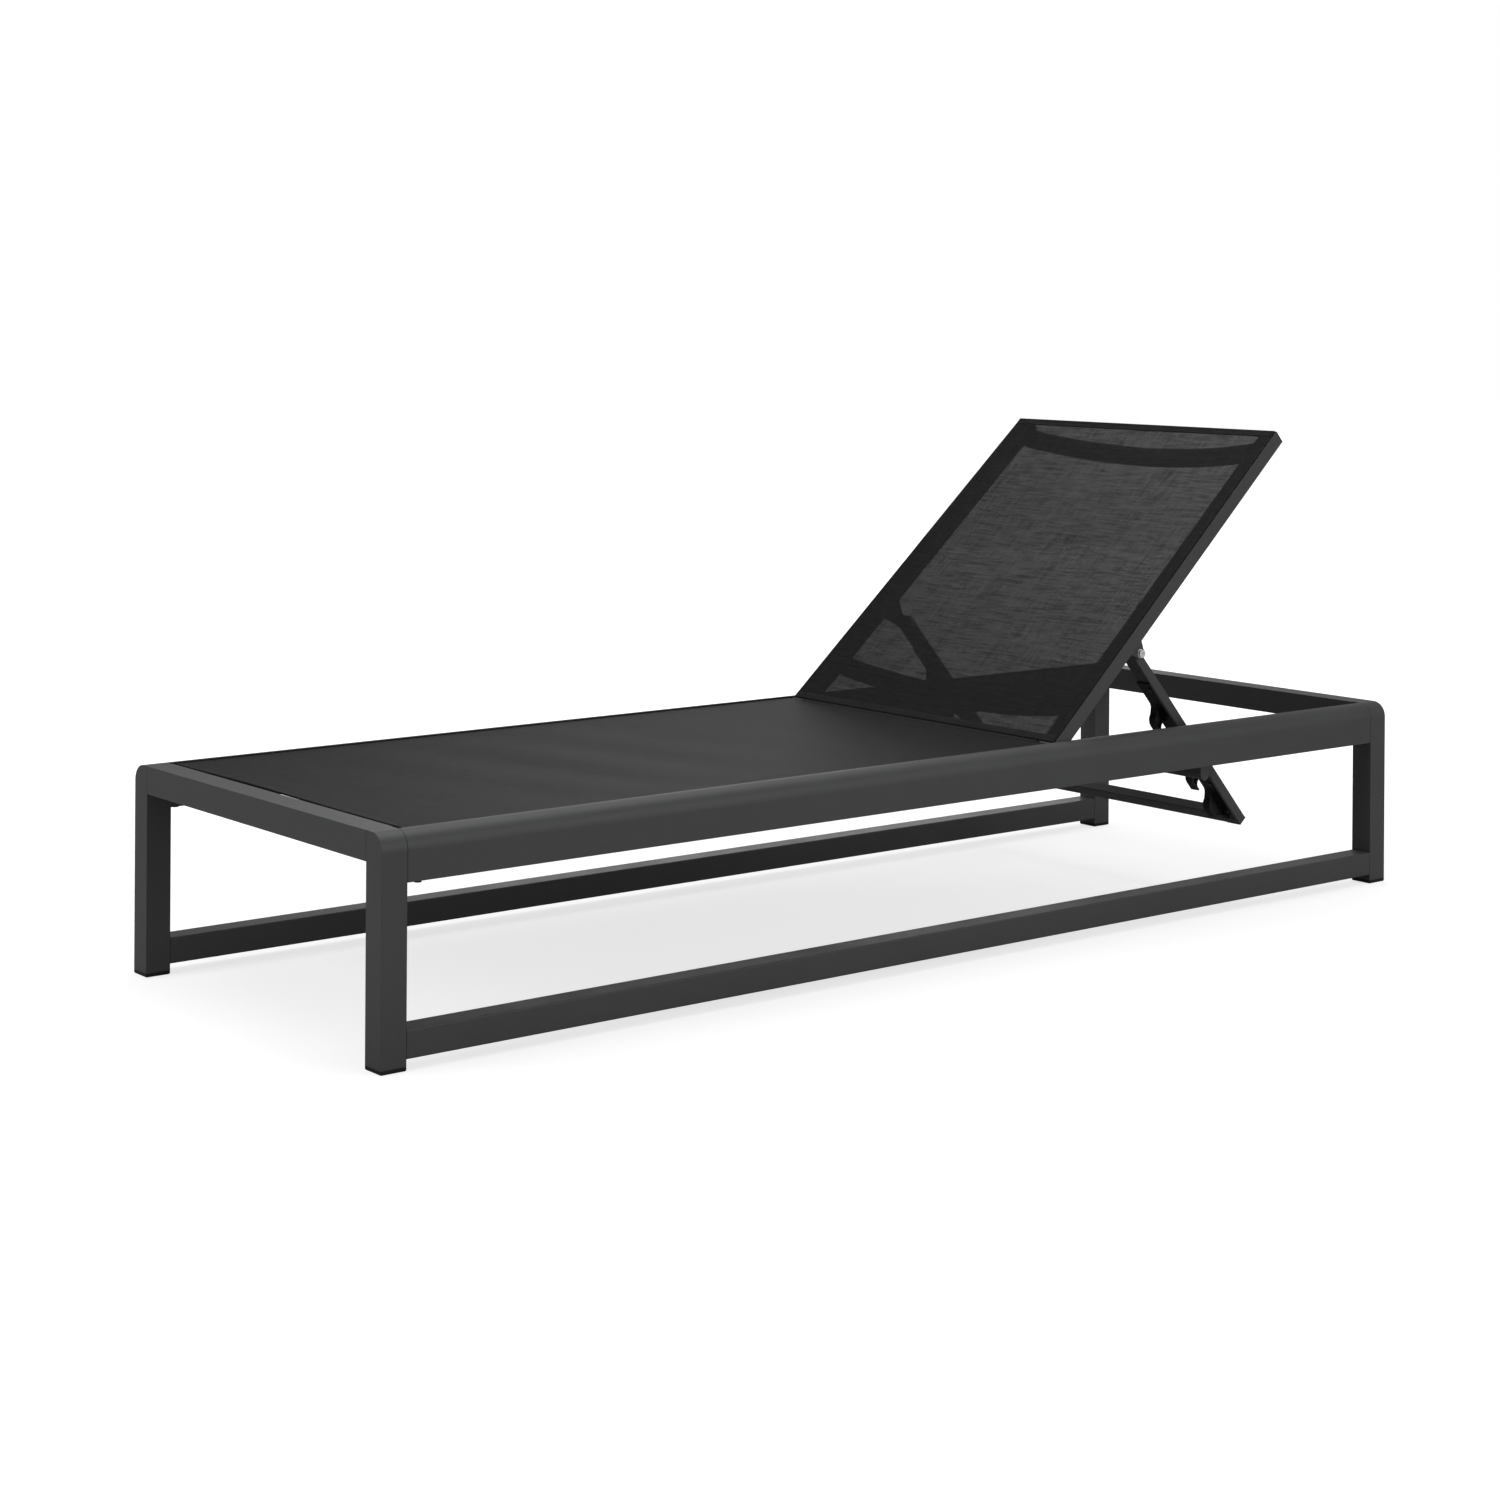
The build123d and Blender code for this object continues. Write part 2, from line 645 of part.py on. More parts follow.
def arm_plugs():
    """Moulded plugs in the two ends of the left arm."""
    gap = arm_wall + slip
    plugs = []
    for outside, tube_end, inside in ((-arm_top, -arm_top + plug_cap, -pivot_bush_radius - slip),
                                      (arm_length, arm_length - plug_cap, arm_length - arm_plug_length)):
        cap = block(outside, tube_end, -arm_outer_face, -arm_inner_face, -arm_front, arm_back)
        shank = block(tube_end, inside, -arm_outer_face + gap, -arm_inner_face - gap,
                      -arm_front + gap, arm_back - gap)
        plugs.append(cap + shank)
    return plugs


def cross_tube():
    """Bottom tube of the support frame, between its two arms."""
    end = arm_length
    start = end - cross_tube_width
    outer = block(start, end, -arm_inner_face, arm_inner_face, -arm_front, arm_back)
    outer = fillet(outer.edges().filter_by(Axis.Y), arm_round)
    wall = arm_wall
    return outer - block(start + wall, end - wall, -arm_inner_face, arm_inner_face,
                         -arm_front + wall, arm_back - wall)


def pivot_bush():
    """Bush through the left arm, running on the pivot bolt."""
    return ring_y(0, 0, -arm_outer_face, -arm_inner_face, pivot_bush_radius, pivot_bolt_radius + running_gap)


def ramp(start, floor):
    """The sloping back of a hook, from the floor of the pocket above it up to its crest."""
    return [(start, floor), (start + 8, floor + 3.2), (start + 15, floor + 10.4),
            (start + 19.5, floor + 18.8), (start + 26, rack_depth - 1), (start + 32, rack_depth)]


def rack_outline():
    """Side view of a rack as a face: along the arm, and outwards from its pivot axis as minus Y."""
    floor = pocket_depth - pocket_radius
    lip = sqrt(pocket_radius ** 2 - hook_reach ** 2)
    points = [(rack_start, arm_front), (rack_start + 4, arm_front + rack_flange)]
    edges = []
    for middle in pockets:
        points += ramp(middle - pocket_pitch + ramp_start, floor)
        points += [(middle + hook_reach - 2, rack_depth), (middle + hook_reach, rack_depth - 2),
                   (middle + hook_reach, pocket_depth + lip)]
        edges.append(Polyline(*[(along, -out) for along, out in points]))
        edges.append(ThreePointArc((middle + hook_reach, -pocket_depth - lip),
                                   (middle - pocket_radius, -pocket_depth), (middle, -floor)))
        points = [(middle, floor)]
    points += ramp(middle + ramp_start, floor)
    points += [(middle + pocket_pitch, rack_depth), (rack_end, arm_front + rack_flange),
               (rack_end, arm_front), (rack_start, arm_front)]
    edges.append(Polyline(*[(along, -out) for along, out in points]))
    return make_face(Curve() + edges)


def rack_screws(outer_edge):
    """Screws that hold a rack to its arm's front face, in the flange beside the plate."""
    face = -arm_front - rack_flange
    y = outer_edge + (arm_width - rack_thickness) / 2
    places = [rack_start + rack_screw_inset, pockets[0] + pocket_pitch / 2, pockets[-1] + ramp_start / 2,
              rack_end - ramp_start]
    return [rod_z(x, y, face, -arm_front + rack_screw_grip, screw_radius)
            + rod_z(x, y, face - screw_head_height, face, screw_head_radius) for x in places]


def rack_windows():
    """The recess inside the raised rim of each hook, as faces in the plane of the rack's outline."""
    low = pocket_depth - pocket_radius + rack_rim
    high = rack_depth - rack_rim
    round_radius = pocket_radius + rack_rim
    windows = []
    for number in range(pocket_count + 1):
        middle = first_pocket + pocket_pitch * number
        start = middle - pocket_pitch + ramp_start + rack_rim
        left = [(start + 9, low), (start + 15, low + 6.5), (start + 19.5, low + 15.5), (start + 25, high)]
        if number < pocket_count:
            top = middle - sqrt(round_radius ** 2 - (high - pocket_depth) ** 2)
            bottom = middle - sqrt(round_radius ** 2 - (low - pocket_depth) ** 2)
            right = ThreePointArc((top, -high), (middle - round_radius, -pocket_depth), (bottom, -low))
        else:
            right = Line((start + 41, -high), (rack_end - 12, -low))
        outline = [(along, -out) for along, out in left]
        edges = [Polyline(*outline, right @ 0), right, Line(right @ 1, outline[0])]
        windows.append(make_face(Curve() + edges))
    return windows


def rack_moulding(outer_edge):
    """One rack on the arm whose outermost -Y edge is at outer_edge. Both arms carry the same moulding."""
    plate_face = outer_edge + arm_width - rack_thickness
    plane = Plane(origin=(0, plate_face, 0), x_dir=(1, 0, 0), z_dir=(0, -1, 0))
    plate = extrude(plane * rack_outline(), -rack_thickness)
    for window in rack_windows():
        plate -= extrude(plane * window, -rack_recess)
    flange = block(rack_start, rack_end, outer_edge, outer_edge + arm_width,
                   -arm_front - rack_flange, -arm_front)
    rack = plate + flange
    for screw in rack_screws(outer_edge):
        rack -= screw
    return rack


# ---- every piece by name -----------------------------------------------------------
def on_panel(shape):
    """A backrest piece in its raised place."""
    return panel_place * shape


def on_support(shape):
    """A support-frame piece in its place under the raised backrest."""
    return support_place * shape


pieces = {}
foot_leg = leg()
pieces["leg_foot_left"] = foot_leg
pieces["leg_foot_right"] = other_side(foot_leg)
pieces["leg_head_left"] = other_end(foot_leg)
pieces["leg_head_right"] = other_end(other_side(foot_leg))
pieces["end_rail_foot"] = end_rail()
pieces["end_rail_head"] = other_end(end_rail())
pieces["side_rail_left"] = side_rail()
pieces["side_rail_right"] = other_side(side_rail())
pieces["stretcher_left"] = stretcher()
pieces["stretcher_right"] = other_side(stretcher())

for name, shape in {"corner_blocks": corner_block(), "foot_pads": foot_pad(),
                    "stretcher_plugs": stretcher_plug(), "stretcher_bolts": stretcher_bolt(),
                    "end_rail_bolts": end_screw()}.items():
    pieces[name] = both_sides([shape, other_end(shape)])
pieces["corner_bolts"] = both_sides(corner_bolts() + [other_end(bolt) for bolt in corner_bolts()])

for number, x in enumerate(seat_bow_places(), start=1):
    pieces[f"seat_bow_{number}"] = seat_bow(x)
pieces["bow_sockets"] = both_sides([bow_socket(x) for x in seat_bow_places()])
pieces["seat_sling"] = seat_sling()
pieces["seat_splines"] = both_sides([seat_spline()])
pieces["catch_bar"] = catch_bar()
pieces["hanger_left"] = hanger()
pieces["hanger_right"] = other_side(hanger())
pieces["hanger_screws"] = both_sides(hanger_screws())
pieces["hinge_bolts"] = both_sides([hinge_bolt()])
pieces["hinge_inserts"] = both_sides([hinge_insert()])
pieces["hinge_washers"] = both_sides([hinge_washer()])

pieces["back_tube_left"] = on_panel(back_tube())
pieces["back_tube_right"] = on_panel(other_side(back_tube()))
pieces["hinge_lug_left"] = on_panel(hinge_lug())
pieces["hinge_lug_right"] = on_panel(other_side(hinge_lug()))
pieces["back_bow_lower"] = on_panel(back_bow(lower_bow_place, lower_bow_drop))
pieces["back_bow_upper"] = on_panel(back_bow(upper_bow_place, upper_bow_drop))
pieces["back_sling"] = on_panel(back_sling())
pieces["pivot_ear_left"] = on_panel(pivot_ear())
pieces["pivot_ear_right"] = on_panel(other_side(pivot_ear()))
for name, shapes in {"back_splines": [back_spline()], "hinge_bushes": [hinge_bush()],
                     "tube_caps": [tube_cap()], "pivot_bolts": [pivot_bolt()],
                     "pivot_washers": pivot_washers(), "pivot_nuts": [pivot_nut()]}.items():
    pieces[name] = on_panel(both_sides(shapes))

pieces["support_arm_left"] = on_support(support_arm(-arm_outer_face))
pieces["support_arm_right"] = on_support(support_arm(arm_inner_face))
pieces["cross_tube"] = on_support(cross_tube())
pieces["rack_left"] = on_support(rack_moulding(-arm_outer_face))
pieces["rack_right"] = on_support(rack_moulding(arm_inner_face))
all_rack_screws = rack_screws(-arm_outer_face) + rack_screws(arm_inner_face)
pieces["rack_screws"] = on_support(Compound(children=all_rack_screws))
pieces["arm_plugs"] = on_support(both_sides(arm_plugs()))
pieces["pivot_bushes"] = on_support(both_sides([pivot_bush()]))

os.makedirs("parts", exist_ok=True)
for name, shape in pieces.items():
    export_step(shape, f"parts/{name}.step")
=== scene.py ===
"""Looks of a reclining sun lounger: powder-coated tubes, woven slings, moulded racks and bolts."""

import json
import logging
import math
from dataclasses import dataclass, field
from enum import Enum
from typing import Callable, Sequence

import bmesh
import bpy
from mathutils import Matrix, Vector

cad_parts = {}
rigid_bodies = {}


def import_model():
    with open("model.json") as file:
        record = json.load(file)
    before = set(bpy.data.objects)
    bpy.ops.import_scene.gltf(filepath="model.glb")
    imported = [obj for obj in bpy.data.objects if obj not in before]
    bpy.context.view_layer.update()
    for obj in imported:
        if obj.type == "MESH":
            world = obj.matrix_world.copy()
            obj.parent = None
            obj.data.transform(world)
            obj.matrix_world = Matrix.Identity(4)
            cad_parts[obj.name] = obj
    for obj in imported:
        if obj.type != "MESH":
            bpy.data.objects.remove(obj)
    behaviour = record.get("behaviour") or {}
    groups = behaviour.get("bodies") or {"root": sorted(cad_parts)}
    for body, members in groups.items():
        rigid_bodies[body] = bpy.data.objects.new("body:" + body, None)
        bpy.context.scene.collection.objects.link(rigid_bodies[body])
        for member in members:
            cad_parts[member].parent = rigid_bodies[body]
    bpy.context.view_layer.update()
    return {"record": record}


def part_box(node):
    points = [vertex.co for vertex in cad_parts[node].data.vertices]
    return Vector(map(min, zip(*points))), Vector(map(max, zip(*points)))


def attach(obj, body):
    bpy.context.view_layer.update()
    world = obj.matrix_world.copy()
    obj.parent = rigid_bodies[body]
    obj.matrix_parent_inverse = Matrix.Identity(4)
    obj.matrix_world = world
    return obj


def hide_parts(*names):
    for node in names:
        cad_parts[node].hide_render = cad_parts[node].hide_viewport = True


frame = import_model()
log = logging.getLogger("lounger")

Colour = tuple[float, float, float]
Socket = bpy.types.NodeSocket
Surface = Callable[[float, float], Vector]


class Body(Enum):
    """The rigid bodies of the lounger."""

    BASE = "base"
    BACKREST = "backrest"


class Slot(Enum):
    """Material slots of the record."""

    SLING = "sling_fabric"


# ---- shader building -------------------------------------------------------------------


class Graph:
    """A node tree with short calls for adding and linking nodes."""

    MIX_INPUTS = (0, 6, 7)  # a Mix node's amount and its two colours
    MIX_RESULT = 2

    def __init__(self, tree: bpy.types.NodeTree) -> None:
        """Wrap a tree.

        Args:
            tree: The shader tree or group that nodes are added to.
        """
        self.tree = tree

    def node(self, kind: str, **values: object) -> bpy.types.Node:
        """Add a node and set its properties.

        Args:
            kind: The node's type name without the "ShaderNode" prefix.
            values: Properties of the node.

        Returns:
            The new node.
        """
        made = self.tree.nodes.new("ShaderNode" + kind)
        for name, value in values.items():
            setattr(made, name, value)
        return made

    def feed(self, socket: Socket, value: object) -> None:
        """Link a socket into an input, or set the input to a plain value.

        Args:
            socket: The input.
            value: The socket or the value that it gets.
        """
        if isinstance(value, Socket):
            self.tree.links.new(value, socket)
        else:
            socket.default_value = value

    def math(self, operation: str, *values: object, clamp: bool = False) -> Socket:
        """Add a Math node.

        Args:
            operation: Blender's name for the operation.
            values: Sockets or numbers for its inputs, in order.
            clamp: Whether the result is kept between 0 and 1.

        Returns:
            The node's output.
        """
        made = self.node("Math", operation=operation, use_clamp=clamp)
        for socket, value in zip(made.inputs, values):
            self.feed(socket, value)
        return made.outputs[0]

    def noise(self, place: Socket, scale: object, detail: float = 2.0, roughness: float = 0.5) -> Socket:
        """Add a Noise texture.

        Args:
            place: The coordinates that it is drawn in.
            scale: Its scale, a socket or a number.
            detail: How many finer layers it has.
            roughness: How strong the finer layers are.

        Returns:
            The texture's Fac output.
        """
        made = self.node("TexNoise")
        self.feed(made.inputs["Vector"], place)
        self.feed(made.inputs["Scale"], scale)
        made.inputs["Detail"].default_value = detail
        made.inputs["Roughness"].default_value = roughness
        return made.outputs["Fac"]

    def mix(self, amount: object, first: object, second: object) -> Socket:
        """Mix two colours.

        Args:
            amount: The share of the second colour.
            first: The colour at 0.
            second: The colour at 1.

        Returns:
            The Mix node's colour output.
        """
        made = self.node("Mix", data_type="RGBA")
        for index, value in zip(self.MIX_INPUTS, (amount, first, second)):
            self.feed(made.inputs[index], value)
        return made.outputs[self.MIX_RESULT]

    def spread(self, value: Socket, low: object, high: object, lowest: object = 0.0,
               highest: object = 1.0) -> Socket:
        """Map a value's range onto another range.

        Args:
            value: The socket to map.
            low: The input value that maps to ``lowest``.
            high: The input value that maps to ``highest``.
            lowest: The result at ``low``.
            highest: The result at ``high``.

        Returns:
            The Map Range node's output.
        """
        made = self.node("MapRange")
        for socket, number in zip(made.inputs[:5], (value, low, high, lowest, highest)):
            self.feed(socket, number)
        return made.outputs[0]


def rgba(colour: Colour) -> tuple[float, float, float, float]:
    """Add full opacity to a colour."""
    return (*colour, 1.0)


def new_group(name: str, inputs: Sequence[tuple[str, str, object]],
              outputs: Sequence[tuple[str, str]]) -> tuple[Graph, dict[str, Socket], bpy.types.Node]:
    """Start a shader node group with named sockets.

    Args:
        name: The group's name.
        inputs: For each input its name, its socket type and its default value.
        outputs: For each output its name and socket type.

    Returns:
        The group's graph, its input sockets by name, and its output node.
    """
    tree = bpy.data.node_groups.new(name, "ShaderNodeTree")
    for label, kind, value in inputs:
        socket = tree.interface.new_socket(label, in_out="INPUT", socket_type=kind)
        socket.default_value = value
    for label, kind in outputs:
        tree.interface.new_socket(label, in_out="OUTPUT", socket_type=kind)
    given = tree.nodes.new("NodeGroupInput")
    result = tree.nodes.new("NodeGroupOutput")
    return Graph(tree), {socket.name: socket for socket in given.outputs}, result


FLOAT = "NodeSocketFloat"
COLOUR = "NodeSocketColor"
VECTOR = "NodeSocketVector"


def coat_group() -> bpy.types.NodeTree:
    """Make the group for a sprayed or moulded skin: pebbled grain, mottling and settled dust.

    Returns:
        A group whose outputs are the varied colour, the roughness and a height for bump.
    """
    graph, given, result = new_group(
        "SkinVariation",
        [("Vector", VECTOR, (0, 0, 0)), ("Colour", COLOUR, (0.05, 0.05, 0.05, 1)),
         ("Dust Colour", COLOUR, (0.3, 0.29, 0.27, 1)), ("Roughness", FLOAT, 0.4),
         ("Grain Scale", FLOAT, 900.0), ("Mottle", FLOAT, 0.1), ("Dust", FLOAT, 0.05)],
        [("Colour", COLOUR), ("Roughness", FLOAT), ("Height", FLOAT)],
    )
    place = given["Vector"]
    cloud_scale, dust_scale, speck_share = 9.0, 24.0, 0.35
    cloud_range, dust_range = (0.3, 0.7), (0.42, 0.68)
    grain = graph.noise(place, given["Grain Scale"], detail=3.0, roughness=0.55)
    coarse = graph.noise(place, cloud_scale, detail=4.0, roughness=0.6)
    specks = graph.noise(place, graph.math("MULTIPLY", given["Grain Scale"], speck_share), detail=1.0)
    shade = graph.spread(coarse, *cloud_range, graph.math("SUBTRACT", 1.0, given["Mottle"]),
                         graph.math("ADD", 1.0, given["Mottle"]))
    scaled = graph.node("VectorMath", operation="SCALE")
    graph.feed(scaled.inputs[0], given["Colour"])
    graph.feed(scaled.inputs["Scale"], shade)
    normal = graph.node("NewGeometry").outputs["Normal"]
    parts = graph.node("SeparateXYZ")
    graph.feed(parts.inputs[0], normal)
    upward = graph.spread(parts.outputs["Z"], 0.5, 1.0)
    patchy = graph.spread(graph.noise(place, dust_scale, detail=6.0, roughness=0.65), *dust_range)
    dusty = graph.math("MULTIPLY", graph.math("MULTIPLY", upward, patchy), given["Dust"], clamp=True)
    colour = graph.mix(dusty, scaled.outputs[0], given["Dust Colour"])
    uneven, dust_roughness, speck_height = 0.04, 0.8, 0.5
    rough = graph.math("ADD", given["Roughness"], graph.spread(coarse, *cloud_range, -uneven, uneven))
    rough = graph.math("ADD", rough, graph.math("MULTIPLY", dusty, dust_roughness), clamp=True)
    graph.feed(result.inputs["Colour"], colour)
    graph.feed(result.inputs["Roughness"], rough)
    pebbles = graph.math("ADD", grain, graph.math("MULTIPLY", specks, speck_height))
    graph.feed(result.inputs["Height"], pebbles)
    return graph.tree


def weave_group() -> bpy.types.NodeTree:
    """Make the group for a plain weave of coated yarns, with its open holes and slubs.

    Returns:
        A group whose outputs are the yarns' height, the mask of the open holes and the yarns' shade.
    """
    graph, given, result = new_group(
        "PlainWeave",
        [("Vector", VECTOR, (0, 0, 0)), ("Yarn Pitch", FLOAT, 0.0012), ("Slub", FLOAT, 0.4)],
        [("Height", FLOAT), ("Hole", FLOAT), ("Shade", FLOAT)],
    )
    parts = graph.node("SeparateXYZ")
    graph.feed(parts.inputs[0], given["Vector"])
    turn = graph.math("DIVIDE", math.pi, given["Yarn Pitch"])
    waves = [graph.math("SINE", graph.math("MULTIPLY", parts.outputs[axis], turn)) for axis in "XY"]
    crowns = [graph.math("MULTIPLY", wave, wave) for wave in waves]
    over = graph.spread(graph.math("MULTIPLY", waves[0], waves[1]), -1.0, 1.0)
    under_height, hole_edge = 0.6, (0.12, 0.45)
    height = graph.math("MULTIPLY", graph.math("MAXIMUM", crowns[0], crowns[1]),
                        graph.spread(over, 0, 1, under_height, 1.0))
    valleys = [graph.math("SUBTRACT", 1.0, crown) for crown in crowns]
    hole = graph.spread(graph.math("MULTIPLY", valleys[0], valleys[1]), *hole_edge)
    streak_scale, streak_shapes = 9.0, ((2.0, 34.0, 1.0), (34.0, 2.0, 1.0))
    crosswise_weight, streak_range = 1.4, (0.96, 1.44)
    streaks = []
    for stretch in streak_shapes:
        mapping = graph.node("Mapping")
        graph.feed(mapping.inputs["Vector"], given["Vector"])
        mapping.inputs["Scale"].default_value = stretch
        streaks.append(graph.noise(mapping.outputs[0], streak_scale, detail=4.0, roughness=0.75))
    both = graph.math("ADD", streaks[0], graph.math("MULTIPLY", streaks[1], crosswise_weight))
    slub = graph.math("MULTIPLY", graph.spread(both, *streak_range, -1.0, 1.0), given["Slub"])
    graph.feed(result.inputs["Height"], graph.math("ADD", height, slub))
    graph.feed(result.inputs["Hole"], graph.math("MULTIPLY", hole, graph.math("ADD", 1.0, slub), clamp=True))
    graph.feed(result.inputs["Shade"], graph.math("ADD", 1.0, slub))
    return graph.tree


class Groups:
    """The shader groups that several finishes share, each built once."""

    def __init__(self) -> None:
        """Build every shared group."""
        self.skin = coat_group()
        self.weave = weave_group()


@dataclass(frozen=True)
class Finish:
    """What every finish has: a name and the start of its material."""

    name: str

    def start(self) -> tuple[bpy.types.Material, Graph, bpy.types.Node, Socket]:
        """Make the material with one Principled shader.

        Returns:
            The material, its graph, its shader and the object coordinates.
        """
        material = bpy.data.materials.new(self.name)
        material.use_nodes = True
        graph = Graph(material.node_tree)
        shader = next(node for node in material.node_tree.nodes if node.type == "BSDF_PRINCIPLED")
        return material, graph, shader, graph.node("TexCoord").outputs["Object"]


@dataclass(frozen=True)
class SkinFinish(Finish):
    """Powder coat or moulded plastic, with soft edges."""

    colour: Colour
    roughness: float
    grain_scale: float = 900.0
    grain_depth: float = 0.00004
    mottle: float = 0.08
    dust: float = 0.04
    bump_strength: float = 0.6
    edge_radius: float = 0.0008
    specular: float = 0.5
    metallic: float = 0.0

    def build(self, groups: Groups) -> bpy.types.Material:
        """Make the material.

        Args:
            groups: The shared shader groups.

        Returns:
            The finished material.
        """
        material, graph, shader, place = self.start()
        skin = graph.node("Group", node_tree=groups.skin)
        graph.feed(skin.inputs["Vector"], place)
        skin.inputs["Colour"].default_value = rgba(self.colour)
        skin.inputs["Roughness"].default_value = self.roughness
        skin.inputs["Grain Scale"].default_value = self.grain_scale
        skin.inputs["Mottle"].default_value = self.mottle
        skin.inputs["Dust"].default_value = self.dust
        edges = graph.node("Bevel", samples=4)
        edges.inputs["Radius"].default_value = self.edge_radius
        bump = graph.node("Bump")
        bump.inputs["Strength"].default_value = self.bump_strength
        bump.inputs["Distance"].default_value = self.grain_depth
        graph.feed(bump.inputs["Height"], skin.outputs["Height"])
        graph.feed(bump.inputs["Normal"], edges.outputs[0])
        graph.feed(shader.inputs["Base Color"], skin.outputs["Colour"])
        graph.feed(shader.inputs["Roughness"], skin.outputs["Roughness"])
        graph.feed(shader.inputs["Normal"], bump.outputs[0])
        shader.inputs["Specular IOR Level"].default_value = self.specular
        shader.inputs["Metallic"].default_value = self.metallic
        return material


@dataclass(frozen=True)
class MeshFinish(Finish):
    """Woven, plastic-coated yarn that lets a little light through its holes."""

    colour: Colour
    light_yarn: Colour
    slope: float = 0.0
    openness: float = 0.5
    yarn_pitch: float = 0.0013
    roughness: float = 0.62
    slub: float = 0.6
    specular: float = 0.12
    bump_strength: float = 0.5
    bump_depth: float = 0.0002

    def build(self, groups: Groups) -> bpy.types.Material:
        """Make the material.

        Args:
            groups: The shared shader groups.

        Returns:
            The finished material.
        """
        material, graph, shader, place = self.start()
        level = graph.node("Mapping")
        graph.feed(level.inputs["Vector"], place)
        level.inputs["Rotation"].default_value = (0, self.slope, 0)
        weave = graph.node("Group", node_tree=groups.weave)
        graph.feed(weave.inputs["Vector"], level.outputs[0])
        weave.inputs["Yarn Pitch"].default_value = self.yarn_pitch
        weave.inputs["Slub"].default_value = self.slub
        shade = graph.spread(weave.outputs["Shade"], 1.0 - self.slub, 1.0 + self.slub)
        graph.feed(shader.inputs["Base Color"], graph.mix(shade, rgba(self.colour), rgba(self.light_yarn)))
        shader.inputs["Roughness"].default_value = self.roughness
        shader.inputs["Specular IOR Level"].default_value = self.specular
        bump = graph.node("Bump")
        bump.inputs["Strength"].default_value = self.bump_strength
        bump.inputs["Distance"].default_value = self.bump_depth
        graph.feed(bump.inputs["Height"], weave.outputs["Height"])
        graph.feed(shader.inputs["Normal"], bump.outputs[0])
        if self.openness > 0:
            open_part = graph.math("MULTIPLY", weave.outputs["Hole"], self.openness)
            graph.feed(shader.inputs["Alpha"], graph.math("SUBTRACT", 1.0, open_part, clamp=True))
        return material


@dataclass(frozen=True)
class TurnedFinish(Finish):
    """Turned or rolled steel, with fine rings round its axis."""

    colour: Colour
    roughness: float
    ring_stretch: float = 0.08
    grain_scale: float = 2600.0
    dust: float = 0.02
    bump_strength: float = 0.4
    bump_depth: float = 0.00003

    def build(self, groups: Groups) -> bpy.types.Material:
        """Make the material.

        Args:
            groups: The shared shader groups.

        Returns:
            The finished material.
        """
        material, graph, shader, place = self.start()
        skin = graph.node("Group", node_tree=groups.skin)
        stretched = graph.node("Mapping")
        graph.feed(stretched.inputs["Vector"], place)
        stretched.inputs["Scale"].default_value = (1.0, self.ring_stretch, 1.0)
        graph.feed(skin.inputs["Vector"], stretched.outputs[0])
        skin.inputs["Colour"].default_value = rgba(self.colour)
        skin.inputs["Roughness"].default_value = self.roughness
        skin.inputs["Grain Scale"].default_value = self.grain_scale
        skin.inputs["Dust"].default_value = self.dust
        bump = graph.node("Bump")
        bump.inputs["Strength"].default_value = self.bump_strength
        bump.inputs["Distance"].default_value = self.bump_depth
        graph.feed(bump.inputs["Height"], skin.outputs["Height"])
        graph.feed(shader.inputs["Base Color"], skin.outputs["Colour"])
        graph.feed(shader.inputs["Roughness"], skin.outputs["Roughness"])
        graph.feed(shader.inputs["Normal"], bump.outputs[0])
        shader.inputs["Metallic"].default_value = 1.0
        return material


@dataclass(frozen=True)
class PaperFinish(Finish):
    """Matt white studio paper, lit from behind as far as the camera sees."""

    colour: Colour
    glow: float
    glow_start: float = 0.9
    glow_full: float = 2.2

    def build(self, groups: Groups) -> bpy.types.Material:
        """Make the material.

        Args:
            groups: The shared shader groups, not used here.

        Returns:
            The finished material.
        """
        material, graph, shader, place = self.start()
        shader.inputs["Base Color"].default_value = rgba(self.colour)
        shader.inputs["Roughness"].default_value = 1.0
        shader.inputs["Specular IOR Level"].default_value = 0.0
        shader.inputs["Emission Color"].default_value = (1, 1, 1, 1)
        distance = graph.node("VectorMath", operation="LENGTH")
        graph.feed(distance.inputs[0], place)
        glow = graph.spread(distance.outputs["Value"], self.glow_start, self.glow_full, self.glow, 1.0)
        seen = graph.node("LightPath").outputs["Is Camera Ray"]
        graph.feed(shader.inputs["Emission Strength"], graph.math("MULTIPLY", seen, glow))
        return material


# ---- mesh building ---------------------------------------------------------------------


def new_piece(name: str, mesh: bmesh.types.BMesh, body: Body,
              material: bpy.types.Material, smooth: bool = True) -> bpy.types.Object:
    """Turn a bmesh into a piece that rides on a body.

    Args:
        name: The piece's name.
        mesh: The finished geometry, freed here.
        body: The body it moves with.
        material: What it looks like.
        smooth: Whether its faces are shaded smooth.

    Returns:
        The new object.
    """
    bmesh.ops.recalc_face_normals(mesh, faces=mesh.faces)
    for face in mesh.faces:
        face.smooth = smooth
    data = bpy.data.meshes.new(name)
    mesh.to_mesh(data)
    mesh.free()
    piece = bpy.data.objects.new(name, data)
    bpy.context.scene.collection.objects.link(piece)
    data.materials.append(material)
    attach(piece, body.value)
    log.info("%s: %d faces on %s", name, len(data.polygons), body.value)
    return piece


